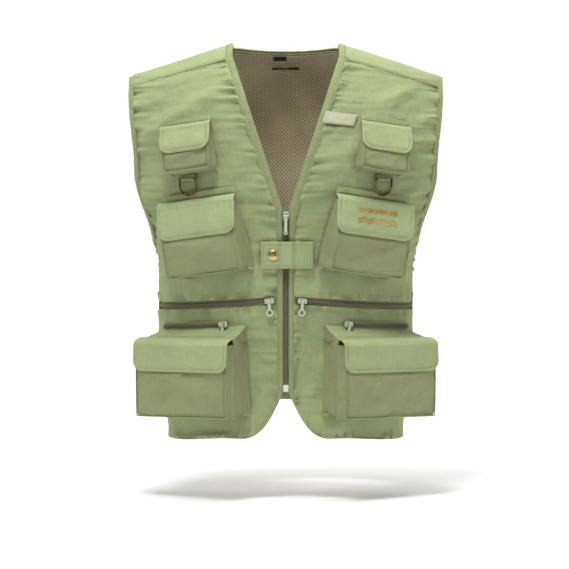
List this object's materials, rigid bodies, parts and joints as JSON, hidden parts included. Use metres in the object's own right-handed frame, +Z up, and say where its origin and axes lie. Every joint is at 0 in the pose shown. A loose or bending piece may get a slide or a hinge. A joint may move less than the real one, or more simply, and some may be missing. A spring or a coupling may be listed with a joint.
{
  "type": "fishing vest",
  "caption": "Sleeveless fishing vest with a zip front, flap pockets, zipped compartments, D-rings and a snap tab.",
  "frame": {"origin": "middle of the hanger loop inside the back neck, where the vest hangs", "axes": "+X to the wearer's left, -Y to the front, +Z up"},
  "size_m": [0.498, 0.3096, 0.6216],
  "materials": {
    "shell_cloth": "fine plain-weave polycotton",
    "mesh_lining": "open warp-knit mesh",
    "binding_cloth": "folded bias binding, stitched",
    "pocket_cloth": "fine plain-weave polycotton",
    "flap_cloth": "double cloth, topstitched",
    "label_tape": "woven satin tape",
    "zip_tape": "woven polyester tape",
    "zip_coil": "nylon coil",
    "painted_metal": "semi-gloss paint",
    "clear_plastic": "clear moulded plastic",
    "antique_brass": "antiqued, lightly rubbed",
    "webbing": "narrow webbing",
    "pale_patch": "brushed pile",
    "loop_fabric": "napped loop tape"
  },
  "bodies": {
    "vest": {"back_panel": "shell_cloth", "back_lining": "mesh_lining", "yoke_left": "shell_cloth", "yoke_right": "shell_cloth", "front_upper_left": "shell_cloth", "front_upper_right": "shell_cloth", "front_lower_left": "shell_cloth", "front_lower_right": "shell_cloth", "front_lining_left": "mesh_lining", "front_lining_right": "mesh_lining", "front_edge_left": "binding_cloth", "front_edge_right": "binding_cloth", "neck_binding": "binding_cloth", "armhole_binding_left": "binding_cloth", "armhole_binding_right": "binding_cloth", "size_label": "label_tape", "hanger_loop": "label_tape", "zip_tape_left": "zip_tape", "zip_tape_right": "zip_tape", "zip_teeth_left": "zip_coil", "zip_teeth_right": "zip_coil", "retainer_box": "clear_plastic", "waist_tape_left": "zip_tape", "waist_tape_right": "zip_tape", "waist_coil_left": "zip_coil", "waist_coil_right": "zip_coil", "lower_zip_left": "zip_tape", "lower_zip_right": "zip_tape", "chest_pouch_left": "pocket_cloth", "chest_pouch_right": "pocket_cloth", "mid_pouch_left": "pocket_cloth", "mid_pouch_right": "pocket_cloth", "compartment_left": "shell_cloth", "compartment_right": "shell_cloth", "lower_pouch_left": "pocket_cloth", "lower_pouch_right": "pocket_cloth", "ring_loops": "webbing", "snap_stud": "antique_brass", "chest_patch": "pale_patch", "loop_patches": "loop_fabric"},
    "main_slider": {"main_slider": "painted_metal"},
    "main_pull": {"main_pull": "painted_metal"},
    "waist_slider_left": {"waist_slider_left": "painted_metal"},
    "waist_pull_left": {"waist_pull_left": "painted_metal"},
    "lower_slider_left": {"lower_slider_left": "painted_metal"},
    "lower_pull_left": {"lower_pull_left": "painted_metal"},
    "chest_flap_left": {"chest_flap_left": "flap_cloth"},
    "mid_flap_left": {"mid_flap_left": "flap_cloth"},
    "lower_flap_left": {"lower_flap_left": "flap_cloth"},
    "d_ring_left": {"d_ring_left": "antique_brass"},
    "waist_slider_right": {"waist_slider_right": "painted_metal"},
    "waist_pull_right": {"waist_pull_right": "painted_metal"},
    "lower_slider_right": {"lower_slider_right": "painted_metal"},
    "lower_pull_right": {"lower_pull_right": "painted_metal"},
    "chest_flap_right": {"chest_flap_right": "flap_cloth"},
    "mid_flap_right": {"mid_flap_right": "flap_cloth"},
    "lower_flap_right": {"lower_flap_right": "flap_cloth"},
    "d_ring_right": {"d_ring_right": "antique_brass"},
    "snap_tab": {"snap_tab": "flap_cloth", "snap_cap": "antique_brass"}
  },
  "joints": [
    {"name": "main_zip", "type": "slide", "parent": "vest", "child": "main_slider", "axis": [0, 0, -1], "range_m": [0, 0.256]},
    {"name": "main_pull_swing", "type": "hinge", "parent": "main_slider", "child": "main_pull", "pos_m": [0, -0.19462, -0.2319], "axis": [-1, 0, 0], "range_deg": [0, 150]},
    {"name": "waist_zip_left", "type": "hinge", "parent": "vest", "child": "waist_slider_left", "pos_m": [0, 0.06526, -0.3629], "axis": [0.0732, 0, 0.9973], "range_deg": [0, 37.5]},
    {"name": "waist_pull_swing_left", "type": "hinge", "parent": "waist_slider_left", "child": "waist_pull_left", "pos_m": [0.02637, -0.19328, -0.36484], "axis": [-0.9921, -0.1018, 0.0729], "range_deg": [0, 120]},
    {"name": "lower_zip_slide_left", "type": "hinge", "parent": "vest", "child": "lower_slider_left", "pos_m": [0, 0.06526, -0.3948], "axis": [0.0732, 0, 0.9973], "range_deg": [0, 21.1]},
    {"name": "lower_pull_swing_left", "type": "hinge", "parent": "lower_slider_left", "child": "lower_pull_left", "pos_m": [0.0998, -0.18108, -0.40213], "axis": [-0.924, -0.3763, 0.0679], "range_deg": [0, 120]},
    {"name": "chest_flap_open_left", "type": "hinge", "parent": "vest", "child": "chest_flap_left", "pos_m": [0.15588, -0.1563, -0.08835], "axis": [-0.9381, -0.3151, 0.1438], "range_deg": [0, 115]},
    {"name": "mid_flap_open_left", "type": "hinge", "parent": "vest", "child": "mid_flap_left", "pos_m": [0.13892, -0.16748, -0.20517], "axis": [-0.9212, -0.3636, 0.1384], "range_deg": [0, 74]},
    {"name": "lower_flap_open_left", "type": "hinge", "parent": "vest", "child": "lower_flap_left", "pos_m": [0.15347, -0.17333, -0.4239], "axis": [-0.8409, -0.5409, 0.0175], "range_deg": [0, 110]},
    {"name": "d_ring_swing_left", "type": "hinge", "parent": "vest", "child": "d_ring_left", "pos_m": [0.15322, -0.16536, -0.17505], "axis": [-0.933, -0.3599, 0], "range_deg": [0, 90]},
    {"name": "waist_zip_right", "type": "hinge", "parent": "vest", "child": "waist_slider_right", "pos_m": [0, 0.06526, -0.3629], "axis": [0.0732, 0, -0.9973], "range_deg": [0, 37.5]},
    {"name": "waist_pull_swing_right", "type": "hinge", "parent": "waist_slider_right", "child": "waist_pull_right", "pos_m": [-0.02637, -0.19328, -0.36484], "axis": [-0.9921, 0.1018, -0.0729], "range_deg": [0, 120]},
    {"name": "lower_zip_slide_right", "type": "hinge", "parent": "vest", "child": "lower_slider_right", "pos_m": [0, 0.06526, -0.3948], "axis": [0.0732, 0, -0.9973], "range_deg": [0, 21.1]},
    {"name": "lower_pull_swing_right", "type": "hinge", "parent": "lower_slider_right", "child": "lower_pull_right", "pos_m": [-0.0998, -0.18108, -0.40213], "axis": [-0.924, 0.3763, -0.0679], "range_deg": [0, 120]},
    {"name": "chest_flap_open_right", "type": "hinge", "parent": "vest", "child": "chest_flap_right", "pos_m": [-0.15588, -0.1563, -0.08835], "axis": [-0.9381, 0.3151, -0.1438], "range_deg": [0, 115]},
    {"name": "mid_flap_open_right", "type": "hinge", "parent": "vest", "child": "mid_flap_right", "pos_m": [-0.13892, -0.16748, -0.20517], "axis": [-0.9212, 0.3636, -0.1384], "range_deg": [0, 74]},
    {"name": "lower_flap_open_right", "type": "hinge", "parent": "vest", "child": "lower_flap_right", "pos_m": [-0.15347, -0.17333, -0.4239], "axis": [-0.8409, 0.5409, -0.0175], "range_deg": [0, 110]},
    {"name": "d_ring_swing_right", "type": "hinge", "parent": "vest", "child": "d_ring_right", "pos_m": [-0.15322, -0.16536, -0.17505], "axis": [-0.933, 0.3599, 0], "range_deg": [0, 90]},
    {"name": "snap_tab_open", "type": "hinge", "parent": "vest", "child": "snap_tab", "pos_m": [0.043, -0.18877, -0.2929], "axis": [0, 0, 1], "range_deg": [0, 100]}
  ]
}
